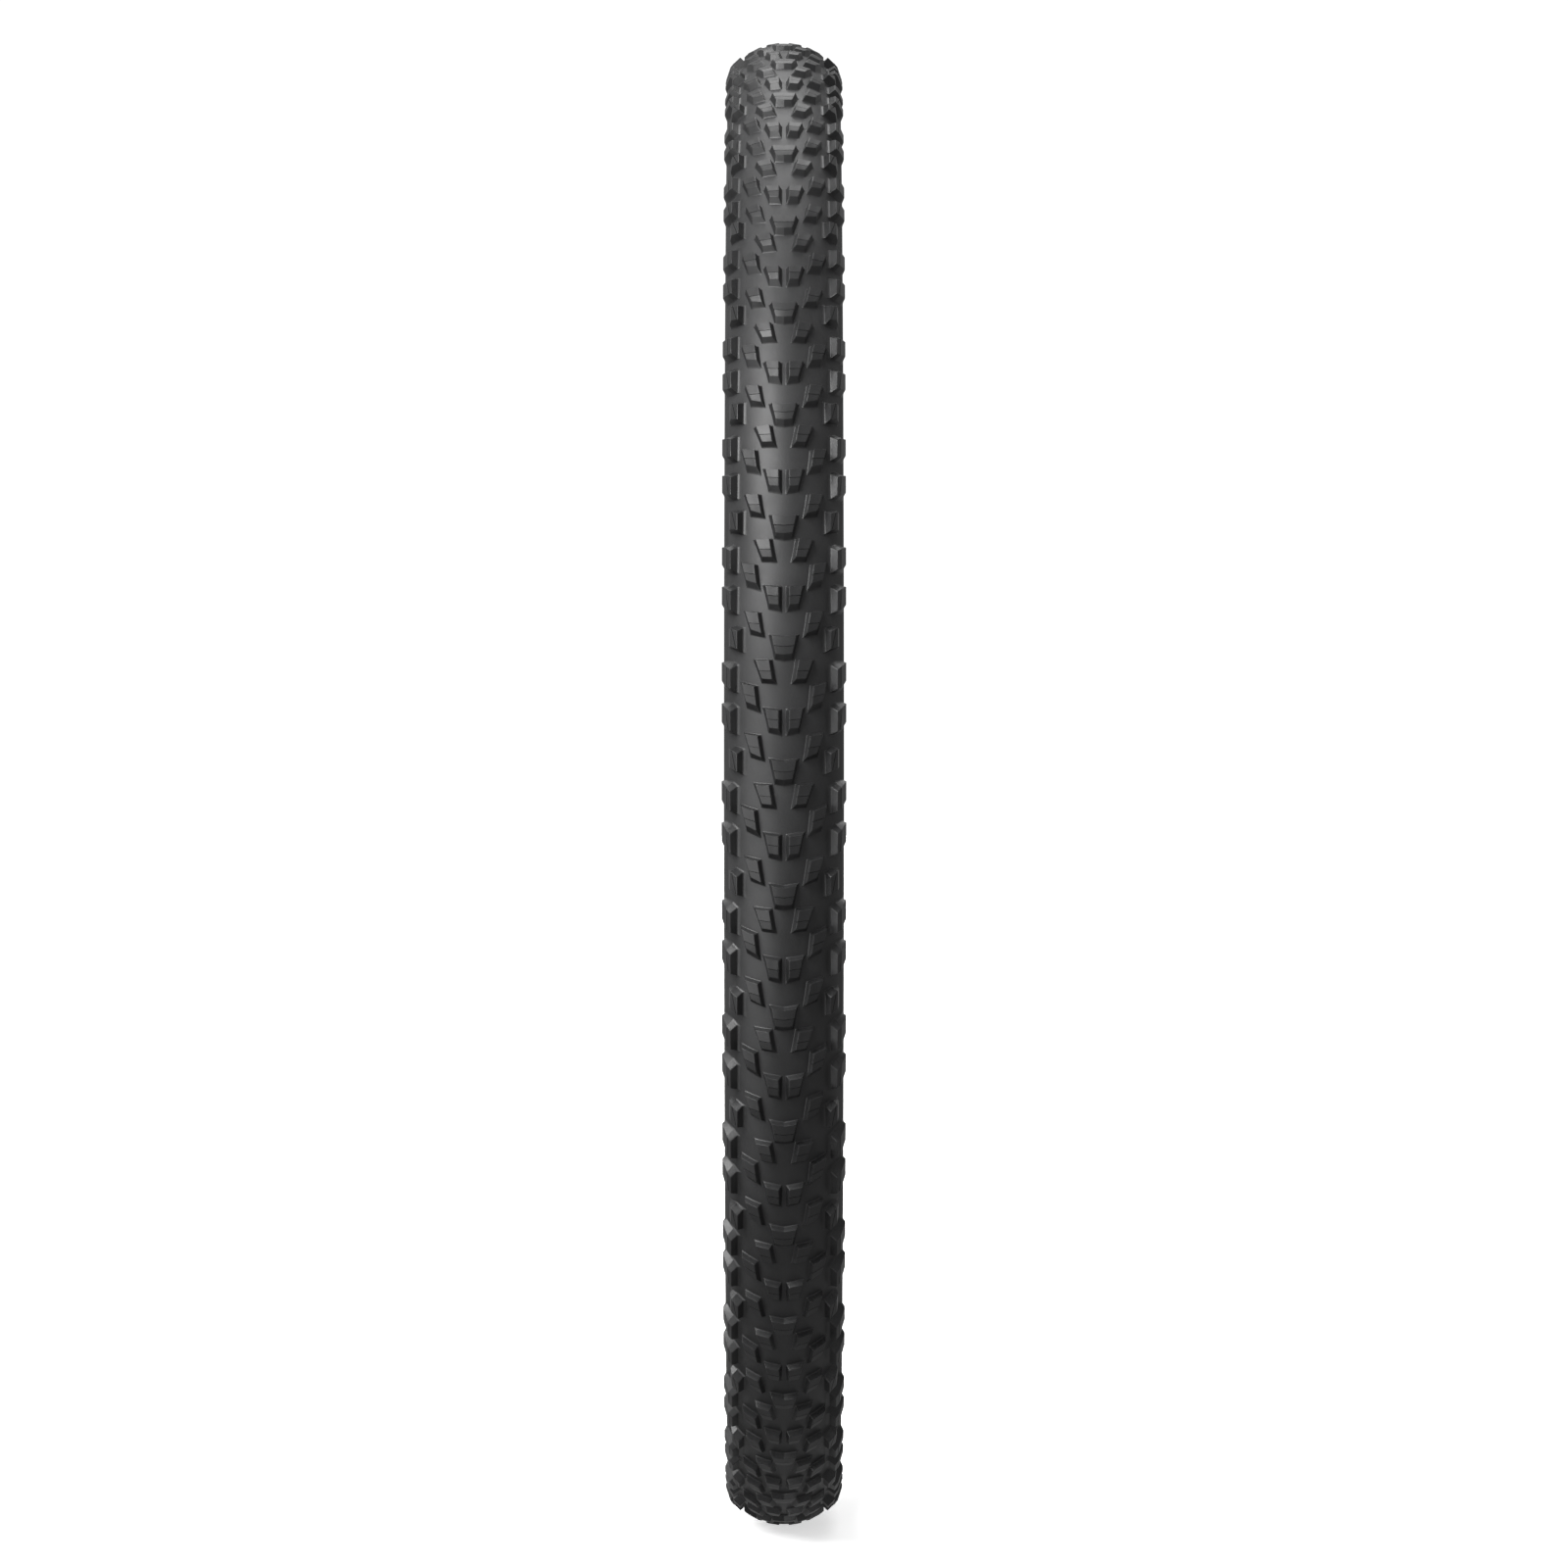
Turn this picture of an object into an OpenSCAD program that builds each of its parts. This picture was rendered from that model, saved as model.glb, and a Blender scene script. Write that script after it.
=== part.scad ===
// Mountain-bike tyre, shown at its inflated shape with no rim, tube or valve.
// The axle runs along Y, the wheel centre is the origin and Z points up. "left" is the -Y side.

/* [Wheel] */
// Outside diameter over the centre blocks
outer_d = 736; // [734:0.5:738]
// Bead seat diameter of the rim
bead_seat_d = 622; // [621.5:0.1:622.5]
// Distance between the outer faces of the two beads
bead_spread = 30; // [29.6:0.1:30.4]

/* [Section] */
// Width of the casing across its widest place
casing_w = 55.4; // [55:0.1:56]
// Height of the widest place above the bead seat
widest_h = 25; // [24.8:0.1:25.2]
// Cross-section radius of the rubber between the blocks
crown_arc = 29.2; // [29:0.1:29.4]

/* [Layers] */
// Thickness of the sidewall rubber
sidewall_t = 0.4; // [0.35:0.05:0.5]
// Thickness of one casing ply, and of the breaker belt
ply_t = 0.35; // [0.3:0.05:0.4]
// Thickness of the airtight inner liner
liner_t = 0.25; // [0.2:0.05:0.3]

/* [Beads] */
// Diameter of the bead core
core_d = 3; // [2.8:0.1:3.1]
// Width of the cylindrical seat under each bead
seat_w = 3.8; // [3.4:0.1:4]

/* [Tread] */
// Number of times the tread pattern repeats round the wheel
pitches = 40; // [38:1:41]
// Height of the centre blocks
centre_h = 2.9; // [2.6:0.1:3.3]
// Height of the transition blocks
transition_h = 3.1; // [2.7:0.1:3.5]
// Height of the shoulder blocks
shoulder_h = 4.1; // [3.6:0.1:4.4]
// Angle of the first centre block's rear edge above +X
first_block_a = 1.94; // [0:0.01:9]

/* [Hidden] */
$fn = 96;
pitch_a = 360 / pitches;
seat_r = bead_seat_d / 2;
// Radius at which lengths along the tread are measured
tread_r = outer_d / 2 - 1.5;
// Crown: an arc of radius crown_arc about this distance from the axle
crown_c = outer_d / 2 - centre_h - crown_arc;
// Casing: an arc of radius casing_a above the widest place, and a tighter one below it
casing_c = seat_r + widest_h;
casing_a = casing_w / 2;
low_y = 6.4;
low_a = casing_a - low_y;
// Angle below the widest place at which the casing meets the bead
bead_angle = 66;
chafer_angle = 42;
// Angles from the crown, about the casing's centre
belt_angle = 58;
turnup_angle = belt_angle;
shoulder_angle = 62;
// How far the flank between the crown and the widest place leans in, up to the outside diameter
flank_fall = 0.9;
// Depths below the casing's outer face at which the layers start
ply2 = sidewall_t + ply_t;
ply1 = ply2 + ply_t;
liner = ply1 + ply_t;
inside = liner + liner_t;
// Pieces of one layer lap over each other by this angle, inset by this length
lap_a = 1.5;
lap = 0.01;
core_r = core_d / 2;
core_y = bead_spread / 2 - 2.3;
core_c = seat_r + 2.6;
wrap_r = core_r + ply_t;

// ---- Cross-section shapes: X is the distance from the axle, Y the distance from the centre line

function crown_point(a, depth) =
    [casing_c + (casing_a - depth) * cos(a), (casing_a - depth) * sin(a)];
function low_point(a, depth) =
    [casing_c - (low_a - depth) * sin(a), low_y + (low_a - depth) * cos(a)];

// The part of a plane between two angles about a centre, for angles under 180 degrees apart
module sector(centre, from, to) {
    reach = 60;
    middle = (from + to) / 2;
    translate(centre)
        polygon([
            [0, 0],
            reach * [cos(from), sin(from)],
            reach * [cos(middle), sin(middle)],
            reach * [cos(to), sin(to)]
        ]);
}

module band(centre, outer, inner) {
    translate(centre)
        difference() {
            circle(outer);
            circle(inner);
        }
}

// A layer of the crown and upper sidewall, between two angles from the centre line
module upper_band(depth, thickness, from, to) {
    intersection() {
        band([casing_c, 0], casing_a - depth, casing_a - depth - thickness);
        sector([casing_c, 0], from, to);
    }
}

// A layer of the lower sidewall, between two angles below the widest place
module lower_band(depth, thickness, from, to) {
    intersection() {
        band([casing_c, low_y], low_a - depth, low_a - depth - thickness);
        sector([casing_c, low_y], 90 + from, 90 + to);
    }
}

// A layer's whole section, from bead to bead over the crown
module layer(depth, thickness) {
    intersection() {
        band([casing_c, 0], casing_a - depth, casing_a - depth - thickness);
        translate([casing_c, -casing_w])
            square([casing_w, 2 * casing_w]);
    }
    both_sides() {
        lower_band(depth, thickness, -lap_a, bead_angle);
        inner_leg(depth, thickness);
    }
}

// The leg that carries a layer on from the casing, down the inside of the bead core
module inner_leg(depth, thickness) {
    near = core_y - core_r - (depth - ply2);
    far = near - thickness;
    polygon([
        low_point(bead_angle - lap_a, depth + lap),
        low_point(bead_angle, depth),
        [core_c + 1, near],
        [core_c - 0.4, near],
        [core_c - 0.4, far],
        [core_c + 1, far],
        low_point(bead_angle, depth + thickness),
        low_point(bead_angle - lap_a, depth + thickness - lap)
    ]);
}

module turnup() {
    upper_band(sidewall_t, ply_t, turnup_angle, 90);
    lower_band(sidewall_t, ply_t, -lap_a, bead_angle);
    polygon([
        low_point(bead_angle - lap_a, sidewall_t + lap),
        low_point(bead_angle, sidewall_t),
        [core_c + 2, core_y + wrap_r],
        [core_c - 0.1, core_y + wrap_r],
        [core_c - 0.1, core_y + core_r],
        [core_c + 2, core_y + core_r],
        low_point(bead_angle, ply2),
        low_point(bead_angle - lap_a, ply2 - lap)
    ]);
    // Round the underside of the bead core
    intersection() {
        band([core_c, core_y], wrap_r, core_r);
        translate([core_c - 3, core_y - 3])
            square([3.1, 6]);
    }
}

// The outline of one bead, from the heel round the seat to the toe
module bead_outline() {
    heel = bead_spread / 2;
    toe = heel - 5.2;
    seat_start = heel - 0.8;
    polygon([
        low_point(bead_angle - lap_a, lap),
        low_point(bead_angle, 0),
        [seat_r + 1.2, heel],
        [seat_r + 0.35, heel - 0.25],
        [seat_r, seat_start],
        [seat_r, seat_start - seat_w],
        [seat_r + 0.6, toe],
        [seat_r + 2.8, toe],
        low_point(bead_angle + 2, liner),
        low_point(bead_angle + 2, ply2),
        low_point(bead_angle, sidewall_t - lap),
        low_point(bead_angle - lap_a, sidewall_t - lap)
    ]);
}

module filler_space() {
    polygon([
        low_point(bead_angle, ply2),
        [core_c + 2, core_y + core_r],
        [core_c, core_y + core_r],
        [core_c, core_y - core_r],
        [core_c + 1, core_y - core_r]
    ]);
}

module spin() {
    rotate([-90, 0, 0])
        rotate_extrude($fn = 256)
            children();
}

module both_sides() {
    children();
    mirror([0, 1, 0])
        children();
}

module on_side(side) {
    if (side < 0)
        mirror([0, 1, 0])
            children();
    else
        children();
}

// ---- Casing

module inner_liner() {
    color("#2b2b2d")
        spin()
            layer(liner, liner_t);
}

module inner_casing_ply() {
    color("#8a7b5c")
        spin()
            layer(ply1, ply_t);
}

module outer_casing_ply() {
    color("#9c8b66")
        spin() {
            layer(ply2, ply_t);
            both_sides()
                turnup();
        }
}

module breaker_belt() {
    color("#c2b280")
        spin()
            upper_band(sidewall_t, ply_t, -belt_angle, belt_angle);
}

module bead_core(side) {
    color("#c9a227")
        spin()
            on_side(side)
                translate([core_c, core_y])
                    circle(core_r);
}

module bead_filler(side) {
    color("#1f1f20")
        spin()
            on_side(side)
                difference() {
                    filler_space();
                    translate([core_c, core_y])
                        circle(core_r);
                }
}

module chafer(side) {
    color("#242424")
        spin()
            on_side(side) {
                lower_band(0, sidewall_t, chafer_angle, bead_angle);
                difference() {
                    bead_outline();
                    filler_space();
                    turnup();
                    inner_leg(ply2, ply_t);
                    inner_leg(ply1, ply_t);
                    inner_leg(liner, liner_t);
                    translate([core_c, core_y])
                        circle(core_r);
                }
            }
}

// ---- Rubber

// The outline over the crown: its arc, cut on each side by a flank that falls to the widest place
module crown_outline() {
    flank_foot = casing_a - 0.02;
    intersection() {
        translate([crown_c, 0])
            circle(crown_arc);
        polygon([
            [casing_c, -flank_foot],
            [casing_c, flank_foot],
            [outer_d / 2, flank_foot - flank_fall],
            [outer_d / 2, flank_fall - flank_foot]
        ]);
    }
}

// The rubber over the casing and the belt, between two angles about the casing's centre
module upper_rubber(from, to) {
    difference() {
        intersection() {
            crown_outline();
            sector([casing_c, 0], from, to);
        }
        translate([casing_c, 0])
            circle(casing_a - sidewall_t);
    }
}

module sidewall(side) {
    color("#333335")
        spin()
            on_side(side) {
                upper_rubber(shoulder_angle, 100);
                lower_band(0, sidewall_t, -lap_a, chafer_angle);
            }
}

// A fine rib that shows whether the tyre sits evenly on its rim
module fitting_line(side) {
    color("#3a3a3c")
        spin()
            on_side(side)
                lower_band(-0.4, 0.4, 36, 38);
}

module tread_base() {
    color("#39393b")
        spin()
            upper_rubber(-shoulder_angle, shoulder_angle);
}

// ---- Tread blocks
// A place on the tread is [across, along]: across is measured from the centre line round the crown, along is
// measured forwards from the rear edge of the centre block. Heights stand square to the crown.

function tread_point(place, height) =
    let (
        lean = place[0] / crown_arc * 180 / PI,
        r = crown_c + (crown_arc + height) * cos(lean),
        a = first_block_a - place[1] / tread_r * 180 / PI
    )
    [r * cos(a), (crown_arc + height) * sin(lean), r * sin(a)];

// The solid between two outlines that have the same number of points
module loft(lower, upper) {
    n = len(lower);
    sides = [for (i = [0:n - 1]) [i, (i + 1) % n, n + (i + 1) % n, n + i]];
    hull()
        polyhedron(
            concat(lower, upper),
            concat([[for (i = [n - 1:-1:0]) i]], sides, [[for (i = [0:n - 1]) n + i]])
        );
}

// One block, from the outlines of its foot and its top
module block(foot, top, height) {
    loft(
        [for (place = foot) tread_point(place, 0)],
        [for (place = top) tread_point(place, height)]
    );
}

// An edge block, from its section: each row holds across, height, rear along and front along
module edge_block(section) {
    loft(
        [for (row = section) tread_point([row[0], row[2]], row[1])],
        [for (row = section) tread_point([row[0], row[3]], row[1])]
    );
}

// The same block at every pitch
module around(side = 1) {
    for (i = [0:pitches - 1])
        rotate([0, i * pitch_a, 0])
            on_side(side)
                children();
}

// Outlines of one side's blocks run rear outer, rear inner, front inner, front outer. The centre block is two
// halves that meet on the centre line.
CENTRE_FOOT = [[6.9, 0], [0, 1.1], [0, 13.1], [4.2, 12.4]];
CENTRE_TOP = [[5.2, 1.6], [0, 2.4], [0, 10.6], [3.6, 10.1]];
SPLIT_FOOT = [[9.7, 33.8], [1.1, 34.9], [1.1, 47.5], [6.9, 46]];
SPLIT_TOP = [[7.9, 35.6], [2.2, 36.5], [2.2, 44.8], [6.3, 44.2]];
INNER_FOOT = [[14.4, 11.6], [5.4, 12], [3.3, 24], [10.2, 23.3]];
INNER_TOP = [[12.3, 12.8], [6.2, 13.1], [4.9, 22], [9.5, 21.5]];
MIDDLE_FOOT = [[21.5, 21.4], [12.4, 24], [10.9, 37.4], [17.9, 34.5]];
MIDDLE_TOP = [[19.2, 22.8], [12.9, 24.9], [11.9, 34], [17.1, 31.6]];
OUTER_FOOT = [[19.5, -12.2], [10.8, -10.6], [8.8, 2.1], [15.8, 0.1]];
OUTER_TOP = [[17.3, -10.8], [11.3, -9.6], [9.7, 0.3], [14.6, -2]];

// Sections run from the foot of the inner wall over the top to the foot of the outer wall
EDGE_A = [
    [24, 0, 13, 26.8], [24.3, shoulder_h, 16, 25.2], [26.8, shoulder_h, 14.2, 24.4],
    [33.1, 0.61 * shoulder_h, 11, 19.8], [35.5, 0, 11, 22.4]
];
EDGE_B = [
    [24, 0, 33, 46.8], [24.3, shoulder_h, 36, 45.2], [26.8, shoulder_h, 34.2, 44.4],
    [33.1, 0.61 * shoulder_h, 31, 39.8], [35.5, 0, 31, 42.4]
];
EDGE_C = [
    [20.4, 0, -3.4, 8], [20.6, shoulder_h, -1.6, 6.8], [24.5, shoulder_h, -4, 5],
    [27.6, 0.5 * shoulder_h, -4.2, 4.3], [29.6, 0, -4.6, 4.6]
];

module centre_blocks() {
    color("#3d3d3f")
        around()
            both_sides()
                block(CENTRE_FOOT, CENTRE_TOP, centre_h);
}

module split_blocks(side) {
    color("#3f3f41")
        around(side)
            block(SPLIT_FOOT, SPLIT_TOP, centre_h);
}

module inner_blocks(side) {
    color("#414143")
        around(side)
            block(INNER_FOOT, INNER_TOP, transition_h);
}

module middle_blocks(side) {
    color("#3d3d40")
        around(side)
            block(MIDDLE_FOOT, MIDDLE_TOP, transition_h);
}

module outer_blocks(side) {
    color("#404042")
        around(side)
            block(OUTER_FOOT, OUTER_TOP, transition_h);
}

module edge_blocks(section, side) {
    color("#3b3b3e")
        around(side)
            edge_block(section);
}

inner_liner();
inner_casing_ply();
outer_casing_ply();
breaker_belt();
bead_core(-1);  // left_bead_core
bead_core(1);  // right_bead_core
bead_filler(-1);  // left_bead_filler
bead_filler(1);  // right_bead_filler
chafer(-1);  // left_chafer
chafer(1);  // right_chafer
sidewall(-1);  // left_sidewall
sidewall(1);  // right_sidewall
fitting_line(-1);  // left_fitting_line
fitting_line(1);  // right_fitting_line
tread_base();
centre_blocks();
split_blocks(-1);  // left_split_blocks
split_blocks(1);  // right_split_blocks
inner_blocks(-1);  // left_inner_blocks
inner_blocks(1);  // right_inner_blocks
middle_blocks(-1);  // left_middle_blocks
middle_blocks(1);  // right_middle_blocks
outer_blocks(-1);  // left_outer_blocks
outer_blocks(1);  // right_outer_blocks
edge_blocks(EDGE_A, -1);  // left_edge_blocks_a
edge_blocks(EDGE_A, 1);  // right_edge_blocks_a
edge_blocks(EDGE_B, -1);  // left_edge_blocks_b
edge_blocks(EDGE_B, 1);  // right_edge_blocks_b
edge_blocks(EDGE_C, -1);  // left_edge_blocks_c
edge_blocks(EDGE_C, 1);  // right_edge_blocks_c
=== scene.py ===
"""Mountain-bike tyre: detailed rubber, tread blocks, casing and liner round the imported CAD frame."""

import math

import bmesh
import bpy
import numpy as np
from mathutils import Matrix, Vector


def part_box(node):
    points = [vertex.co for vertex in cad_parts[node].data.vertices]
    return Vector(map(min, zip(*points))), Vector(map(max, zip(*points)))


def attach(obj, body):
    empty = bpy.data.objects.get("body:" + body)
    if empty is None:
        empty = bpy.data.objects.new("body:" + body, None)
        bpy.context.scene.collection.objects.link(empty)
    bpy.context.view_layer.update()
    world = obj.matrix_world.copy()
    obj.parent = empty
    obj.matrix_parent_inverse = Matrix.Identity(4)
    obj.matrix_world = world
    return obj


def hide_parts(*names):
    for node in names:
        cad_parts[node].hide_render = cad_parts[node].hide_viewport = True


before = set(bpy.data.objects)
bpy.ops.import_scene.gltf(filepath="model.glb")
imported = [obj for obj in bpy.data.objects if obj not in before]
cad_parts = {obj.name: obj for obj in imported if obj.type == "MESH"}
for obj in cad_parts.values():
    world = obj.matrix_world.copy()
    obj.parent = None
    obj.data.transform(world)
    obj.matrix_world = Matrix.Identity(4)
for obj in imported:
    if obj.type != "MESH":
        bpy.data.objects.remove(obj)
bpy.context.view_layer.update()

# ---- Sizes, in millimetres. They repeat the CAD model's section.

MM = 0.001
OUTER_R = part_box("centre_blocks")[1][2] / MM
CROWN_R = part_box("tread_base")[1][2] / MM
CROWN_ARC = 29.2
CROWN_C = CROWN_R - CROWN_ARC
SHOULDER_ANGLE = math.radians(62)
SEAT_R = 311.0
HEEL_Y = 15.0
CASING_A = 27.7
CASING_C = SEAT_R + 25.0
LOW_Y = 6.4
LOW_A = CASING_A - LOW_Y
CHAFER_ANGLE = math.radians(42)
BEAD_ANGLE = math.radians(66)
SIDEWALL_T = 0.4
PLY_T = 0.35
LINER = SIDEWALL_T + 3 * PLY_T
LINER_T = 0.25
CORE_C = SEAT_R + 2.6
CORE_Y = HEEL_Y - 2.3
CORE_R = 1.5
TREAD_R = OUTER_R - 1.5
PITCHES = 40
FIRST_A = math.radians(1.94)
CENTRE_H = OUTER_R - CROWN_R
TRANSITION_H = 3.1
SHOULDER_H = 4.1
RING_STEPS = 540
SIDES = (("left", -1), ("right", 1))

# ---- Tread blocks. A corner is (across, along) on the crown, as in the CAD model. An outline's first
# half is its rear edge and its second half its front edge, so that corner i faces corner n - 1 - i.

CENTRE = {
    "foot": ((6.9, 0.7), (0, 1.8), (-6.9, 0.7), (-4.2, 12.6), (0, 13.3), (4.2, 12.6)),
    "top": ((5.2, 1.6), (0, 2.4), (-5.2, 1.6), (-3.6, 10.1), (0, 10.6), (3.6, 10.1)),
    "height": CENTRE_H,
    "chord": 0,
    "sipes": (((-5.1, 6.3), (0, 7.0), (5.1, 6.3)),),
}
SPLIT = {
    "foot": ((9.7, 34.6), (1.1, 35.7), (1.1, 47.9), (6.9, 46.5)),
    "top": ((7.9, 35.6), (2.2, 36.5), (2.2, 44.8), (6.3, 44.2)),
    "height": CENTRE_H,
    "sipes": (((7.5, 40.2), (1.9, 40.9)),),
}
INNER = {
    "foot": ((14.4, 12.1), (5.4, 12.6), (3.3, 24), (10.2, 23.3)),
    "top": ((12.3, 12.8), (6.2, 13.1), (4.9, 22), (9.5, 21.5)),
    "height": TRANSITION_H,
    "sipes": (((11.1, 17.7), (5.2, 18.3)),),
}
MIDDLE = {
    "foot": ((21.5, 22), (12.4, 24.5), (10.9, 37.4), (17.9, 34.5)),
    "top": ((19.2, 22.8), (12.9, 24.9), (11.9, 34), (17.1, 31.6)),
    "height": TRANSITION_H,
    "sipes": (((18.3, 28), (12.2, 29.8)),),
}
OUTER = {
    "foot": ((19.5, -11.6), (10.8, -10.1), (8.8, 2.1), (15.8, 0.1)),
    "top": ((17.3, -10.8), (11.3, -9.6), (9.7, 0.3), (14.6, -2)),
    "height": TRANSITION_H,
    "sipes": (((16.3, -5.2), (10.3, -4.1)),),
}
# Share of the full height at each corner of an edge block's top
EDGE_HEIGHTS = (1, 1, 0.61, 0.1, 0.1, 0.61, 1, 1)
EDGE_C_HEIGHTS = (1, 1, 0.5, 0.1, 0.1, 0.5, 1, 1)
# Width of the concave curve at the foot of an edge block's inner wall
FILLET_INNER = 1.9
EDGE_A = {
    "foot": (
        (23.6, 13.2), (26.9, 11.2), (33.3, 10.2), (35.5, 10.7),
        (35.5, 22.4), (32.2, 24.6), (26.9, 26.2), (23.6, 26.8),
    ),
    "top": (
        (24.4, 16), (26.8, 14.2), (33.1, 11), (34.9, 11.2),
        (34.9, 20.6), (33.1, 19.8), (26.8, 24.4), (24.4, 25.2),
    ),
    "height": SHOULDER_H,
    "heights": EDGE_HEIGHTS,
    "inner": FILLET_INNER,
    "sipes": (((26.6, 14.8), (26.6, 24.1)),),
}
EDGE_B = {
    "foot": (
        (23.6, 33.2), (26.9, 31.2), (33.3, 30.2), (35.5, 30.7),
        (35.5, 42.4), (32.2, 44.6), (26.9, 46.2), (23.6, 46.8),
    ),
    "top": (
        (24.4, 36), (26.8, 34.2), (33.1, 31), (34.9, 31.2),
        (34.9, 40.6), (33.1, 39.8), (26.8, 44.4), (24.4, 45.2),
    ),
    "height": SHOULDER_H,
    "heights": EDGE_HEIGHTS,
    "inner": FILLET_INNER,
    "sipes": (((27.4, 34.4), (25.7, 44.3)),),
}
EDGE_C = {
    "foot": (
        (20.2, -4), (24.6, -5.4), (28, -5), (29.6, -5),
        (29.6, 5), (28, 5), (24.6, 6.4), (20.2, 8),
    ),
    "top": (
        (20.6, -1.6), (24.5, -4), (27.6, -4.2), (29, -4.3),
        (29, 4.2), (27.6, 4.3), (24.5, 5), (20.6, 6.8),
    ),
    "height": SHOULDER_H,
    "heights": EDGE_C_HEIGHTS,
    "inner": FILLET_INNER,
    "sipes": (((23.6, -3.3), (21.4, 6)),),
}
# The concave curve where a wall meets the crown: share of the wall's height, and of the curve's width
FILLET = ((0, 1), (0.02, 0.6), (0.06, 0.3), (0.13, 0.1), (0.22, 0))
FILLET_REAR = 0.45
FILLET_SIDE = 0.4
FILLET_FRONT = 0.3
CORNER_R = 0.4
# A corner that turns by less than this stays a crease, which is wider on a curved top
CREASE_TURN = math.radians(30)
CREASE_R = 0.05
CREASE_TOP = 0.7
# Longest share of a side that a rounded corner may take
CORNER_SHARE = 0.35
# How fast a block's top falls away in front of its sipe
FRONT_FALL = 0.1
EDGE_R = 0.13
SUNK = 0.4
SIPE_W = 0.26
SIPE_DEPTH = 0.8
# Longest stretch of a side before it is split, for a flat top and for a curved one
STRAIGHT = 3.0
CURVED = 1.2
# Edges that bend by more than this many degrees are drawn sharp
RING_SHARP = 34
BLOCK_SHARP = 40

# ---- Moulded rings on the sidewall: their height, their width, and their places
MOULD_RING_H = 0.16
# Where the flank leaves the crown's arc, as an angle about the crown's centre
FLANK_END = math.radians(70.3)
# Shares of the way down the flank, and degrees below the widest place
FLANK_RINGS = (0.3, 0.42, 0.54)
FLANK_RING_W = 0.06
LOW_RINGS = (7, 9.6, 30.5, 33)
LOW_RING_W = 1.1


def grown(corners, out):
    """An outline's corners moved so that side i, from corner i to the next, moves out by out[i]."""
    corners = np.array(corners, float)
    after = np.roll(corners, -1, 0) - corners
    area = np.cross(corners, np.roll(corners, -1, 0)).sum()
    normal = np.c_[after[:, 1], -after[:, 0]] * np.sign(area)
    normal /= np.linalg.norm(normal, axis=1)[:, None]
    moved = []
    for i, corner in enumerate(corners):
        pair = np.array([normal[i - 1], normal[i]])
        shift = np.array([out[i - 1], out[i]])
        if abs(np.linalg.det(pair)) > 0.25:
            moved.append(corner + np.linalg.solve(pair, shift))
        else:
            moved.append(corner + pair.mean(0) * shift.mean())
    return np.array(moved)


def rounded(corners, heights, radius, splits, chord, crease=CREASE_R):
    """(across, along, height) points round an outline, with its corners rounded and its sides split.

    Chord is 1 where a side runs straight between its corners and 0 where it follows the crown.
    """
    spots = np.c_[corners, heights]
    after = np.roll(spots, -1, 0) - spots
    heading = np.arctan2(after[:, 1], after[:, 0])
    turn = np.abs((heading - np.roll(heading, 1) + math.pi) % (2 * math.pi) - math.pi)
    reach = np.where(turn < CREASE_TURN, crease, radius)
    length = np.linalg.norm(after[:, :2], axis=1)
    points = []
    for i, spot in enumerate(spots):
        j = (i + 1) % len(spots)
        enter = spot - after[i - 1] * min(reach[i] / length[i - 1], CORNER_SHARE)
        leave = spot + after[i] * min(reach[i] / length[i], CORNER_SHARE)
        towards = spots[j] - after[i] * min(reach[j] / length[i], CORNER_SHARE)
        points += [enter, (enter + 2 * spot + leave) / 4, leave]
        for k in range(1, splits[i] + 1):
            point = leave + (towards - leave) * k / (splits[i] + 1)
            sag = abs((point[0] - spot[0]) * (spots[j][0] - point[0])) / (2 * CROWN_ARC)
            points.append(point - (0, 0, chord * sag))
    return points


def flat_block(kind):
    """One block as a closed mesh in (across, along, height) space, with a curved foot and an eased top."""
    foot, top = np.array(kind["foot"], float), np.array(kind["top"], float)
    n = len(foot)
    heights = kind["height"] * np.array(kind.get("heights", (1,) * n))
    chord = kind.get("chord", 1)
    fillets = [FILLET_SIDE] * n
    splits = [0] * n
    for i in range(n // 2 - 1):
        mate = n - 2 - i
        fillets[i], fillets[mate] = FILLET_REAR, FILLET_FRONT
        length = np.linalg.norm(foot[i] - foot[i + 1])
        splits[i] = splits[mate] = int(length // (STRAIGHT if chord else CURVED))
    fillets[-1] = kind.get("inner", FILLET_SIDE)
    rings = []
    for up, share in ((None, 1), *FILLET):
        corners = foot + (top - foot) * (up or 0)
        corners = grown(corners, [share * f for f in fillets])
        level = np.full(n, -SUNK) if up is None else heights * up
        rings.append(rounded(corners, level, CORNER_R, splits, chord * (up or 0)))
    eased = 1 - EDGE_R / kind["height"]
    rings.append(rounded(foot + (top - foot) * eased, heights * eased, CORNER_R, splits, chord))
    crease = CREASE_R if chord else CREASE_TOP
    rings.append(rounded(grown(top, [-EDGE_R] * n), heights, CORNER_R, splits, chord, crease))
    bm = bmesh.new()
    rows = [[bm.verts.new(p) for p in ring] for ring in rings]
    count = len(rows[0])
    for low, high in zip(rows, rows[1:]):
        for i in range(count):
            bm.faces.new((low[i], low[(i + 1) % count], high[(i + 1) % count], high[i]))
    for row in (rows[0], rows[-1]):
        for i in range(count // 2 - 1):
            bm.faces.new((row[i], row[i + 1], row[count - 2 - i], row[count - 1 - i]))
    bmesh.ops.recalc_face_normals(bm, faces=bm.faces)
    return as_object("block", bm)


def as_object(name, bm):
    """A new object from a bmesh, which is freed."""
    mesh = bpy.data.meshes.new(name)
    bm.to_mesh(mesh)
    bm.free()
    obj = bpy.data.objects.new(name, mesh)
    bpy.context.scene.collection.objects.link(obj)
    return obj


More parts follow.
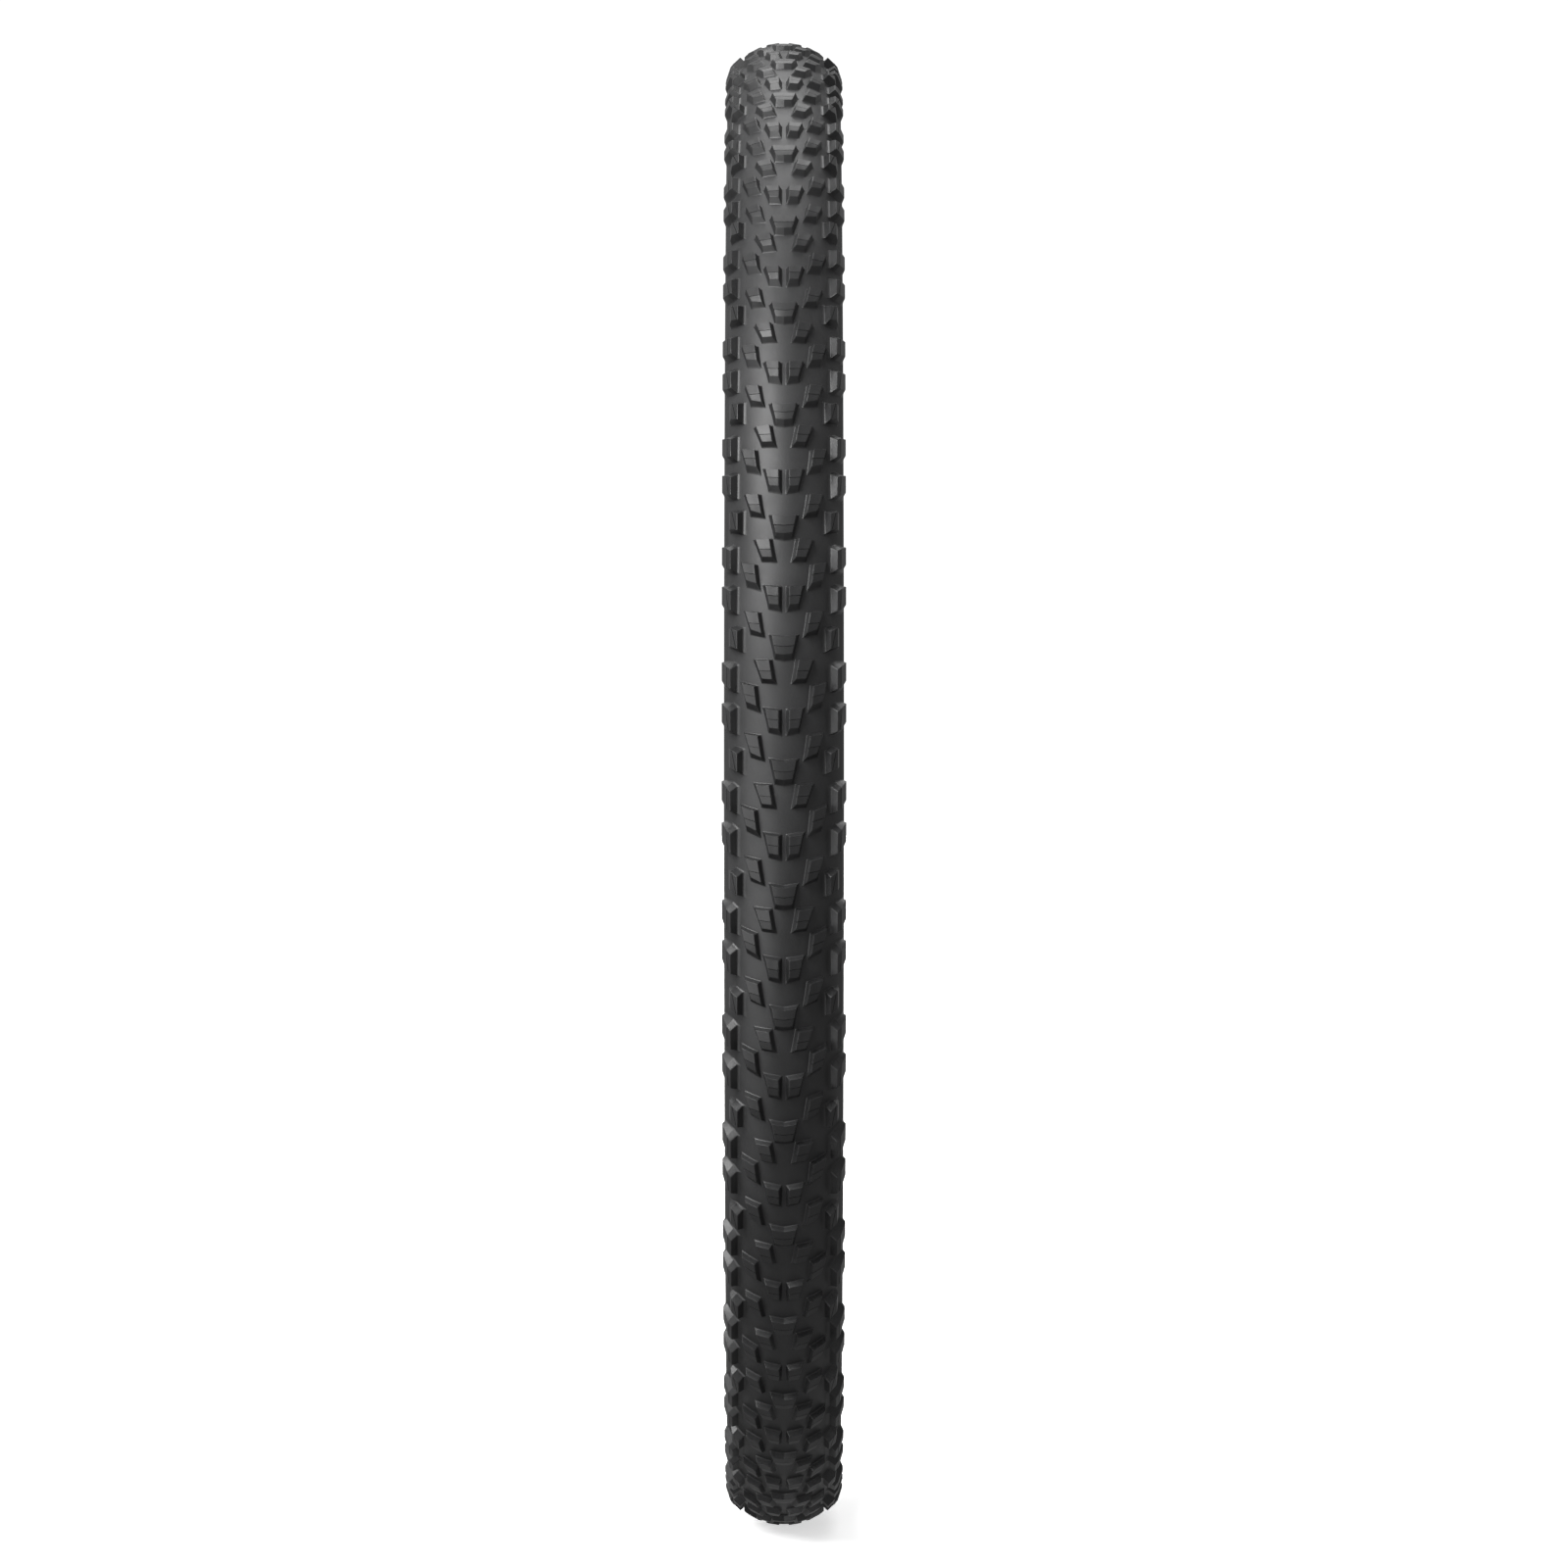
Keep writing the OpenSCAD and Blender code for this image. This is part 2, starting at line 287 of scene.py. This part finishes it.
def sipe_cutter(start, end, height):
    """A thin upright slab along one stretch of a sipe."""
    start, end = np.array(start, float), np.array(end, float)
    along = (end - start) / np.linalg.norm(end - start)
    beside = np.array([-along[1], along[0]]) * SIPE_W / 2
    start, end = start - along * SIPE_W / 3, end + along * SIPE_W / 3
    plan = (start - beside, end - beside, end + beside, start + beside)
    bm = bmesh.new()
    rows = [[bm.verts.new((*p, z)) for p in plan] for z in (height - SIPE_DEPTH, height + 1)]
    bm.faces.new(rows[0][::-1])
    bm.faces.new(rows[1])
    for i in range(4):
        j = (i + 1) % 4
        bm.faces.new((rows[0][i], rows[0][j], rows[1][j], rows[1][i]))
    bmesh.ops.recalc_face_normals(bm, faces=bm.faces)
    return as_object("sipe", bm)


def sharp_block(kind):
    """One kind of block with its sipes cut: (points, triangles) in (across, along, height) space."""
    block = flat_block(kind)
    for line in kind["sipes"]:
        for start, end in zip(line, line[1:]):
            cutter = sipe_cutter(start, end, kind["height"])
            cut = block.modifiers.new("sipe", "BOOLEAN")
            cut.operation = "DIFFERENCE"
            cut.solver = "EXACT"
            cut.object = cutter
            graph = bpy.context.evaluated_depsgraph_get()
            mesh = bpy.data.meshes.new_from_object(block.evaluated_get(graph))
            block.modifiers.clear()
            block.data = mesh
            bpy.data.objects.remove(cutter)
    bm = bmesh.new()
    bm.from_mesh(block.data)
    bmesh.ops.remove_doubles(bm, verts=bm.verts, dist=1e-4)
    bmesh.ops.triangulate(bm, faces=bm.faces)
    bm.verts.index_update()
    points = np.array([v.co[:] for v in bm.verts])
    triangles = np.array([[v.index for v in f.verts] for f in bm.faces])
    bm.free()
    bpy.data.objects.remove(block)
    if "heights" not in kind:
        sipe = np.array(sorted(kind["sipes"][0]))
        past = points[:, 1] - np.interp(points[:, 0], sipe[:, 0], sipe[:, 1])
        share = np.clip(points[:, 2] / kind["height"], 0, 1)
        points[:, 2] -= share * np.maximum(past, 0) * FRONT_FALL
    return points, triangles


def on_tread(points, side):
    """Points at (across, along, height), moved to the crown, in metres."""
    across, along, height = points.T
    lean = across / CROWN_ARC
    r = CROWN_C + (CROWN_ARC + height) * np.cos(lean)
    a = FIRST_A - along / TREAD_R
    y = (CROWN_ARC + height) * np.sin(lean) * side
    return np.c_[r * np.cos(a), y, r * np.sin(a)] * MM


def block_ring(name, kind, side, material):
    """A kind of block at every pitch, as one piece."""
    flat, triangles = sharp_block(kind)
    if side < 0:
        triangles = triangles[:, ::-1]
    one = on_tread(flat, side)
    points, faces = [], []
    for k in range(PITCHES):
        a = 2 * math.pi * k / PITCHES
        turn = np.array([[math.cos(a), 0, math.sin(a)], [0, 1, 0], [-math.sin(a), 0, math.cos(a)]])
        points.append(one @ turn.T)
        faces.append(triangles + k * len(one))
    name_here = name + "_moulded"
    piece = finished(name_here, np.vstack(points), np.vstack(faces), material, BLOCK_SHARP)
    flats = piece.modifiers.new("flats", "WEIGHTED_NORMAL")
    flats.keep_sharp = True
    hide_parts(name)


def finished(name, points, faces, material, sharp=RING_SHARP):
    """A smooth-shaded piece on the tyre, with its edges sharp above an angle."""
    mesh = bpy.data.meshes.new(name)
    mesh.from_pydata(points, [], faces.tolist() if hasattr(faces, "tolist") else faces)
    mesh.polygons.foreach_set("use_smooth", [True] * len(mesh.polygons))
    mesh.set_sharp_from_angle(angle=math.radians(sharp))
    mesh.materials.append(material)
    piece = bpy.data.objects.new(name, mesh)
    bpy.context.scene.collection.objects.link(piece)
    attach(piece, "root")
    return piece


# ---- Rings turned about the axle. A profile is a closed list of places, each the distance from the
# axle and the distance from the centre line.


def casing_point(angle, depth):
    """A place on the casing's crown, by its angle from the centre line."""
    reach = CASING_A - depth
    return (CASING_C + reach * math.cos(angle), reach * math.sin(angle))


def low_point(angle, depth):
    """A place on the casing below its widest place."""
    reach = LOW_A - depth
    return (CASING_C - reach * math.sin(angle), LOW_Y + reach * math.cos(angle))


def crown_place(lean):
    """A place on the tread's surface, by its angle about the crown's centre."""
    return (CROWN_C + CROWN_ARC * math.cos(lean), CROWN_ARC * math.sin(lean))


def steps(start, end, count):
    return [start + (end - start) * k / count for k in range(count + 1)]


def turned(name, profile, side, material, node, ring_steps=RING_STEPS):
    """A closed profile turned into a full ring."""
    profile = np.array(profile) * (MM, MM * side)
    n = len(profile)
    area = np.cross(profile, np.roll(profile, -1, 0)).sum()
    points = []
    for k in range(ring_steps):
        a = 2 * math.pi * k / ring_steps
        points.append(np.c_[
            profile[:, 0] * math.cos(a), profile[:, 1], profile[:, 0] * math.sin(a)
        ])
    here = np.arange(n)
    after = (here + 1) % n
    faces = []
    for k in range(ring_steps):
        low, high = k * n, (k + 1) % ring_steps * n
        quads = np.c_[low + here, low + after, high + after, high + here]
        faces.append(quads if area < 0 else quads[:, ::-1])
    piece = finished(name, np.vstack(points), np.vstack(faces), material)
    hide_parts(node)
    return piece


def shoulder_lean():
    """The shoulder's angle about the crown's centre rather than the casing's."""
    return SHOULDER_ANGLE - math.asin(
        (CASING_C - CROWN_C) * math.sin(SHOULDER_ANGLE) / CROWN_ARC
    )


def tread_profile():
    """The tread's base: the crown outside, the casing's curve inside."""
    lean = shoulder_lean()
    outside = [crown_place(a) for a in steps(-lean, lean, 72)]
    inside = [
        casing_point(a, SIDEWALL_T)
        for a in steps(SHOULDER_ANGLE, -SHOULDER_ANGLE, 48)
    ]
    return outside + inside


def ridge(x, middle, width):
    """A smooth bump of height 1."""
    t = (x - middle) / width
    return math.exp(-t * t * 4)


def sidewall_profile():
    """The sidewall, from the tread's shoulder down to the chafer, with fine moulded rings outside."""
    flank_foot = CASING_A - 0.02
    outside = [crown_place(a) for a in steps(shoulder_lean(), FLANK_END, 8)]
    top = outside[-1]
    foot = (CASING_C, flank_foot)
    for t in steps(0, 1, 60)[1:-1]:
        x = top[0] + (foot[0] - top[0]) * t
        y = top[1] + (foot[1] - top[1]) * t
        rings = sum(ridge(t, middle, FLANK_RING_W) for middle in FLANK_RINGS)
        outside.append((x, y - MOULD_RING_H * rings))
    for a in steps(0, math.degrees(CHAFER_ANGLE), 84):
        rings = sum(ridge(a, middle, LOW_RING_W) for middle in LOW_RINGS)
        rise = MOULD_RING_H * rings * min(a, 4) / 4
        outside.append(low_point(math.radians(a), 0.02 - rise))
    inside = [low_point(a, SIDEWALL_T) for a in steps(CHAFER_ANGLE, 0, 28)]
    inside += [
        casing_point(a, SIDEWALL_T)
        for a in steps(math.radians(90), SHOULDER_ANGLE, 16)[1:]
    ]
    return outside + inside


def fitting_line_profile():
    """A rounded rib that stands on the lower sidewall."""
    middle, half = math.radians(37), math.radians(1)
    over = [
        low_point(middle - half * math.cos(t), -0.4 * math.sin(t) ** 0.7)
        for t in steps(0, math.pi, 14)
    ]
    return over + [low_point(middle + half, 0.15), low_point(middle - half, 0.15)]


def chafer_profile():
    """The rubbed strip round the bead: up the outside from the seat, and a short way up the inside."""
    heel = (SEAT_R + 1.2, HEEL_Y)
    outside = [low_point(a, 0) for a in steps(CHAFER_ANGLE, BEAD_ANGLE, 24)]
    outside += [heel, (SEAT_R + 0.7, HEEL_Y - 0.06), (SEAT_R + 0.35, HEEL_Y - 0.25)]
    outside += [(SEAT_R + 0.1, HEEL_Y - 0.52), (SEAT_R, HEEL_Y - 0.8)]
    # Two fine grooves along the seat
    for groove in (HEEL_Y - 2.1, HEEL_Y - 3.3):
        outside += [
            (SEAT_R, groove + 0.25), (SEAT_R + 0.12, groove + 0.08),
            (SEAT_R + 0.12, groove - 0.08), (SEAT_R, groove - 0.25),
        ]
    toe = HEEL_Y - 5.2
    outside += [(SEAT_R, toe + 0.65), (SEAT_R + 0.22, toe + 0.28), (SEAT_R + 0.6, toe)]
    outside += [(SEAT_R + 2.6, toe), (SEAT_R + 2.85, toe + 0.1)]
    outside += [low_point(BEAD_ANGLE + math.radians(2), LINER)]
    inside = [(CORE_C + 1, CORE_Y - 2.45), (CORE_C - 0.45, CORE_Y - 2.45)]
    wrap = CORE_R + PLY_T + 0.02
    inside += [
        (CORE_C - wrap * math.sin(t), CORE_Y - wrap * math.cos(t))
        for t in steps(math.radians(20), math.radians(175), 14)
    ]
    inside += [(CORE_C + 2, CORE_Y + wrap)]
    inside += [low_point(a, SIDEWALL_T) for a in steps(BEAD_ANGLE, CHAFER_ANGLE, 24)]
    return outside + inside


def liner_profile():
    """The airtight liner from bead to bead, with the fine ribs that the curing bladder leaves inside."""
    outer, inner = [], []
    bottom = CORE_Y - CORE_R - (LINER - SIDEWALL_T - PLY_T)
    for side in (-1, 1):
        angles = steps(BEAD_ANGLE, 0, 33) if side < 0 else steps(0, BEAD_ANGLE, 33)
        for depth, rows in ((LINER, outer), (LINER + LINER_T, inner)):
            rib = 0.08 if rows is inner else 0
            leg = [(CORE_C - 0.4, bottom), (CORE_C + 1, bottom)]
            if rows is inner:
                leg = [(r, y - LINER_T) for r, y in leg]
            run = [low_point(a, depth + rib * (i % 2)) for i, a in enumerate(angles)]
            run = [(r, y * side) for r, y in run]
            leg = [(r, y * side) for r, y in leg]
            rows += leg + run if side < 0 else run + leg[::-1]
            if side < 0:
                rows += [
                    casing_point(a, depth + rib * (i % 2))
                    for i, a in enumerate(steps(-math.pi / 2, math.pi / 2, 120))
                ][1:-1]
    return outer + inner[::-1]


# ---- Materials


class Nodes:
    """A material's nodes, added and joined in short calls."""

    def __init__(self, name):
        self.material = bpy.data.materials.new(name)
        self.material.use_nodes = True
        self.tree = self.material.node_tree
        self.shader = self.tree.nodes["Principled BSDF"]
        self.place = self.add("ShaderNodeTexCoord").outputs["Object"]

    def add(self, kind, **values):
        node = self.tree.nodes.new(kind)
        for key, value in values.items():
            setattr(node, key, value)
        return node

    def join(self, source, target):
        self.tree.links.new(source, target)

    def math(self, operation, first, second=None):
        node = self.add("ShaderNodeMath", operation=operation)
        for socket, value in zip(node.inputs, (first, second)):
            if isinstance(value, (int, float)):
                socket.default_value = value
            elif value is not None:
                self.join(value, socket)
        return node.outputs[0]

    def noise(self, scale, detail=3, roughness=0.55, place=None):
        node = self.add("ShaderNodeTexNoise")
        node.inputs["Scale"].default_value = scale
        node.inputs["Detail"].default_value = detail
        node.inputs["Roughness"].default_value = roughness
        self.join(place or self.place, node.inputs["Vector"])
        return node.outputs["Fac"]

    def ramp(self, fac, *stops):
        """A colour ramp through (place, colour) stops."""
        node = self.add("ShaderNodeValToRGB")
        ramp = node.color_ramp
        while len(ramp.elements) < len(stops):
            ramp.elements.new(0.5)
        for element, (at, colour) in zip(ramp.elements, stops):
            element.position = at
            element.color = (*colour, 1)
        self.join(fac, node.inputs["Fac"])
        return node.outputs["Color"]

    def span(self, fac, low, high):
        """A 0 to 1 value spread over a range."""
        node = self.add("ShaderNodeMapRange")
        node.inputs["To Min"].default_value = low
        node.inputs["To Max"].default_value = high
        self.join(fac, node.inputs["Value"])
        return node.outputs["Result"]

    def bump(self, height, strength, distance):
        node = self.add("ShaderNodeBump")
        node.inputs["Strength"].default_value = strength
        node.inputs["Distance"].default_value = distance
        self.join(height, node.inputs["Height"])
        self.join(node.outputs["Normal"], self.shader.inputs["Normal"])

    def round_the_wheel(self):
        """The angle round the axle in radians, and the distance from it in metres."""
        split = self.add("ShaderNodeSeparateXYZ")
        self.join(self.place, split.inputs[0])
        x, y, z = split.outputs
        angle = self.math("ARCTAN2", z, x)
        squares = self.math("ADD", self.math("MULTIPLY", x, x), self.math("MULTIPLY", z, z))
        radius = self.math("SQRT", squares)
        return angle, radius, y


RUBBER_SPECULAR = 0.42


def grey(level):
    """A faintly blue dark grey."""
    return (level, level * 1.005, level * 1.03)


def rubber(name, level, rough, grain):
    """Matte moulded rubber: faint bloom, a fine grain and patches that are a little smoother."""
    nodes = Nodes(name)
    broad = nodes.noise(38, 4)
    fine = nodes.noise(2600, 2)
    tone = nodes.math("ADD", nodes.math("MULTIPLY", broad, 0.72), nodes.math("MULTIPLY", fine, 0.28))
    nodes.join(
        nodes.ramp(tone, (0.3, grey(level * 0.74)), (0.5, grey(level)), (0.72, grey(level * 1.42))),
        nodes.shader.inputs["Base Color"],
    )
    nodes.join(nodes.span(nodes.noise(90, 3), rough - 0.08, rough + 0.1), nodes.shader.inputs["Roughness"])
    nodes.shader.inputs["Specular IOR Level"].default_value = RUBBER_SPECULAR
    height = nodes.math("ADD", nodes.noise(1500, 3), nodes.math("MULTIPLY", nodes.noise(420, 2), 0.4))
    nodes.bump(height, grain, 0.0001)
    return nodes.material


def corded_rubber(name, level, rough, pitch, strength):
    """Thin rubber over slanting casing cords, which print through it faintly."""
    nodes = Nodes(name)
    broad = nodes.noise(30, 4)
    fine = nodes.noise(2200, 2)
    tone = nodes.math("ADD", nodes.math("MULTIPLY", broad, 0.7), nodes.math("MULTIPLY", fine, 0.3))
    nodes.join(
        nodes.ramp(tone, (0.3, grey(level * 0.78)), (0.52, grey(level)), (0.75, grey(level * 1.35))),
        nodes.shader.inputs["Base Color"],
    )
    nodes.join(nodes.span(nodes.noise(70, 3), rough - 0.08, rough + 0.1), nodes.shader.inputs["Roughness"])
    nodes.shader.inputs["Specular IOR Level"].default_value = RUBBER_SPECULAR
    angle, radius, _ = nodes.round_the_wheel()
    around = nodes.math("MULTIPLY", angle, (CASING_C * MM) / pitch * 2 * math.pi)
    out = nodes.math("MULTIPLY", radius, 2 * math.pi / pitch)
    cords = nodes.math("ADD", nodes.math("SINE", nodes.math("ADD", around, out)), 1)
    cords = nodes.math("MULTIPLY", cords, nodes.span(broad, 0.1, 0.5))
    height = nodes.math("ADD", cords, nodes.math("MULTIPLY", nodes.noise(1400, 3), 0.9))
    nodes.bump(height, strength, 0.00006)
    return nodes.material


def fabric(name, dark, light, pitch, rough, crossed):
    """Rubber-coated cords that run at 45 degrees, or a weave of two sets of them."""
    nodes = Nodes(name)
    angle, radius, y = nodes.round_the_wheel()
    around = nodes.math("MULTIPLY", angle, (CROWN_R * MM) / pitch * 2 * math.pi)
    slant = nodes.math("ADD", y, nodes.math("MULTIPLY", radius, 0.5))
    across = nodes.math("MULTIPLY", slant, 2 * math.pi / pitch)
    one = nodes.math("SINE", nodes.math("ADD", around, across))
    if crossed:
        other = nodes.math("SINE", nodes.math("SUBTRACT", around, across))
        one = nodes.math("MAXIMUM", one, other)
    ply = nodes.math("MULTIPLY", nodes.math("ADD", one, 1), 0.5)
    shade = nodes.math("MULTIPLY", ply, nodes.span(nodes.noise(300, 3), 0.6, 1.0))
    nodes.join(nodes.ramp(shade, (0.15, dark), (0.8, light)), nodes.shader.inputs["Base Color"])
    nodes.join(nodes.span(nodes.noise(500, 2), rough - 0.1, rough + 0.1), nodes.shader.inputs["Roughness"])
    nodes.bump(ply, 0.7, 0.0001)
    return nodes.material


tread_rubber = rubber("tread rubber", 0.026, 0.46, 0.2)
block_rubber = rubber("block rubber", 0.022, 0.38, 0.18)
sidewall_rubber = corded_rubber("sidewall rubber", 0.024, 0.5, 0.0011, 0.55)
line_rubber = rubber("fitting line rubber", 0.022, 0.48, 0.3)
chafer_rubber = corded_rubber("chafer rubber", 0.018, 0.52, 0.0009, 0.9)
liner_rubber = corded_rubber("liner rubber", 0.018, 0.42, 0.0042, 0.8)
filler_rubber = rubber("bead filler rubber", 0.026, 0.66, 0.4)
ply_fabric = fabric("casing cords", (0.05, 0.042, 0.03), (0.3, 0.25, 0.17), 0.0009, 0.68, False)
belt_fabric = fabric("breaker weave", (0.16, 0.12, 0.05), (0.56, 0.46, 0.22), 0.0012, 0.6, True)
bead_fibre = fabric("bead cord fibre", (0.22, 0.15, 0.03), (0.62, 0.47, 0.14), 0.0008, 0.45, True)


def dress(node, material):
    """A better finish on a CAD node that stays."""
    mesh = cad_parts[node].data
    mesh.materials.clear()
    mesh.materials.append(material)


# ---- The tyre

BLOCKS = (
    ("split_blocks", SPLIT), ("inner_blocks", INNER), ("middle_blocks", MIDDLE), ("outer_blocks", OUTER),
    ("edge_blocks_a", EDGE_A), ("edge_blocks_b", EDGE_B), ("edge_blocks_c", EDGE_C),
)
block_ring("centre_blocks", CENTRE, 1, block_rubber)
for side_name, side in SIDES:
    for block_name, kind in BLOCKS:
        block_ring(f"{side_name}_{block_name}", kind, side, block_rubber)

turned("tread_base_moulded", tread_profile(), 1, tread_rubber, "tread_base")
turned("inner_liner_moulded", liner_profile(), 1, liner_rubber, "inner_liner")
RING_PIECES = (
    ("sidewall", sidewall_profile, sidewall_rubber, "sidewall_rubber"),
    ("fitting_line", fitting_line_profile, line_rubber, "sidewall_rubber"),
    ("chafer", chafer_profile, chafer_rubber, "chafer_rubber"),
)
for side_name, side in SIDES:
    for ring_name, profile, material, slot in RING_PIECES:
        node = f"{side_name}_{ring_name}"
        turned(node + "_moulded", profile(), side, material, node)
    dress(f"{side_name}_bead_core", bead_fibre)
    dress(f"{side_name}_bead_filler", filler_rubber)
dress("inner_casing_ply", ply_fabric)
dress("outer_casing_ply", ply_fabric)
dress("breaker_belt", belt_fabric)

# ---- Camera, light and floor

CAMERA_AWAY = 4.5
CAMERA_LENS = 207.4
camera = bpy.data.objects.new("camera", bpy.data.cameras.new("camera"))
camera.data.sensor_width = 36
camera.data.lens = CAMERA_LENS
camera.data.clip_end = 200
camera.location = (CAMERA_AWAY, 0, 0)
camera.rotation_euler = (math.pi / 2, 0, math.pi / 2)
bpy.context.scene.collection.objects.link(camera)
bpy.context.scene.camera = camera


def aimed_light(name, kind, azimuth, elevation, **values):
    """A light that shines on the wheel's centre. Azimuth 0 is the viewer's side, negative to the left."""
    light = bpy.data.objects.new(name, bpy.data.lights.new(name, kind))
    for key, value in values.items():
        setattr(light.data, key, value)
    a, e = math.radians(azimuth), math.radians(elevation)
    away = Vector((math.cos(e) * math.cos(a), math.cos(e) * math.sin(a), math.sin(e)))
    light.location = away * 3
    light.rotation_euler = away.to_track_quat("Z", "Y").to_euler()
    bpy.context.scene.collection.objects.link(light)
    return light


aimed_light("key", "SUN", -46, 46, energy=4.3, angle=math.radians(40))
aimed_light("front", "SUN", -46, -10, energy=1.7, angle=math.radians(60))
aimed_light("back", "SUN", 180, 60, energy=1.3, angle=math.radians(44))

FLOOR_R = 60.0
WHITE = (1, 1, 1, 1)
bpy.ops.mesh.primitive_circle_add(
    vertices=96, radius=FLOOR_R, fill_type="NGON", location=(0, 0, -OUTER_R * MM)
)
floor = bpy.context.object
floor.name = "floor"
floor_paint = bpy.data.materials.new("floor")
floor_paint.use_nodes = True
floor_shader = floor_paint.node_tree.nodes["Principled BSDF"]
floor_shader.inputs["Base Color"].default_value = (0.86, 0.86, 0.86, 1)
floor_shader.inputs["Roughness"].default_value = 0.9
floor_shader.inputs["Specular IOR Level"].default_value = 0.1
floor_shader.inputs["Emission Color"].default_value = WHITE
floor_shader.inputs["Emission Strength"].default_value = 0.6
floor.data.materials.append(floor_paint)
bpy.ops.mesh.primitive_uv_sphere_add(segments=64, ring_count=32, radius=FLOOR_R)
backdrop = bpy.context.object
backdrop.name = "backdrop"
backdrop_paint = bpy.data.materials.new("backdrop")
backdrop_paint.use_nodes = True
backdrop_shader = backdrop_paint.node_tree.nodes["Principled BSDF"]
backdrop_shader.inputs["Base Color"].default_value = (0, 0, 0, 1)
backdrop_shader.inputs["Emission Color"].default_value = WHITE
backdrop_shader.inputs["Emission Strength"].default_value = 1.05
backdrop.data.materials.append(backdrop_paint)
for stage in (floor, backdrop):
    stage.visible_diffuse = False
    stage.visible_glossy = False
backdrop.visible_shadow = False


def studio(upper, lower):
    """A plain bright room whose light from below the horizon is dimmer."""
    world = bpy.data.worlds.new("studio")
    bpy.context.scene.world = world
    world.use_nodes = True
    tree = world.node_tree
    place = tree.nodes.new("ShaderNodeTexCoord")
    split = tree.nodes.new("ShaderNodeSeparateXYZ")
    spread = tree.nodes.new("ShaderNodeMapRange")
    spread.interpolation_type = "SMOOTHSTEP"
    spread.inputs["From Min"].default_value = -0.35
    spread.inputs["From Max"].default_value = -0.03
    spread.inputs["To Min"].default_value = lower
    spread.inputs["To Max"].default_value = upper
    tree.links.new(place.outputs["Generated"], split.inputs[0])
    tree.links.new(split.outputs["Z"], spread.inputs["Value"])
    tree.links.new(spread.outputs["Result"], tree.nodes["Background"].inputs["Strength"])
    tree.nodes["Background"].inputs["Color"].default_value = WHITE


studio(0.34, 0.3)
bpy.context.scene.view_settings.view_transform = "Standard"
bpy.context.scene.view_settings.look = "None"

for spare in list(bpy.data.meshes):
    if not spare.users:
        bpy.data.meshes.remove(spare)
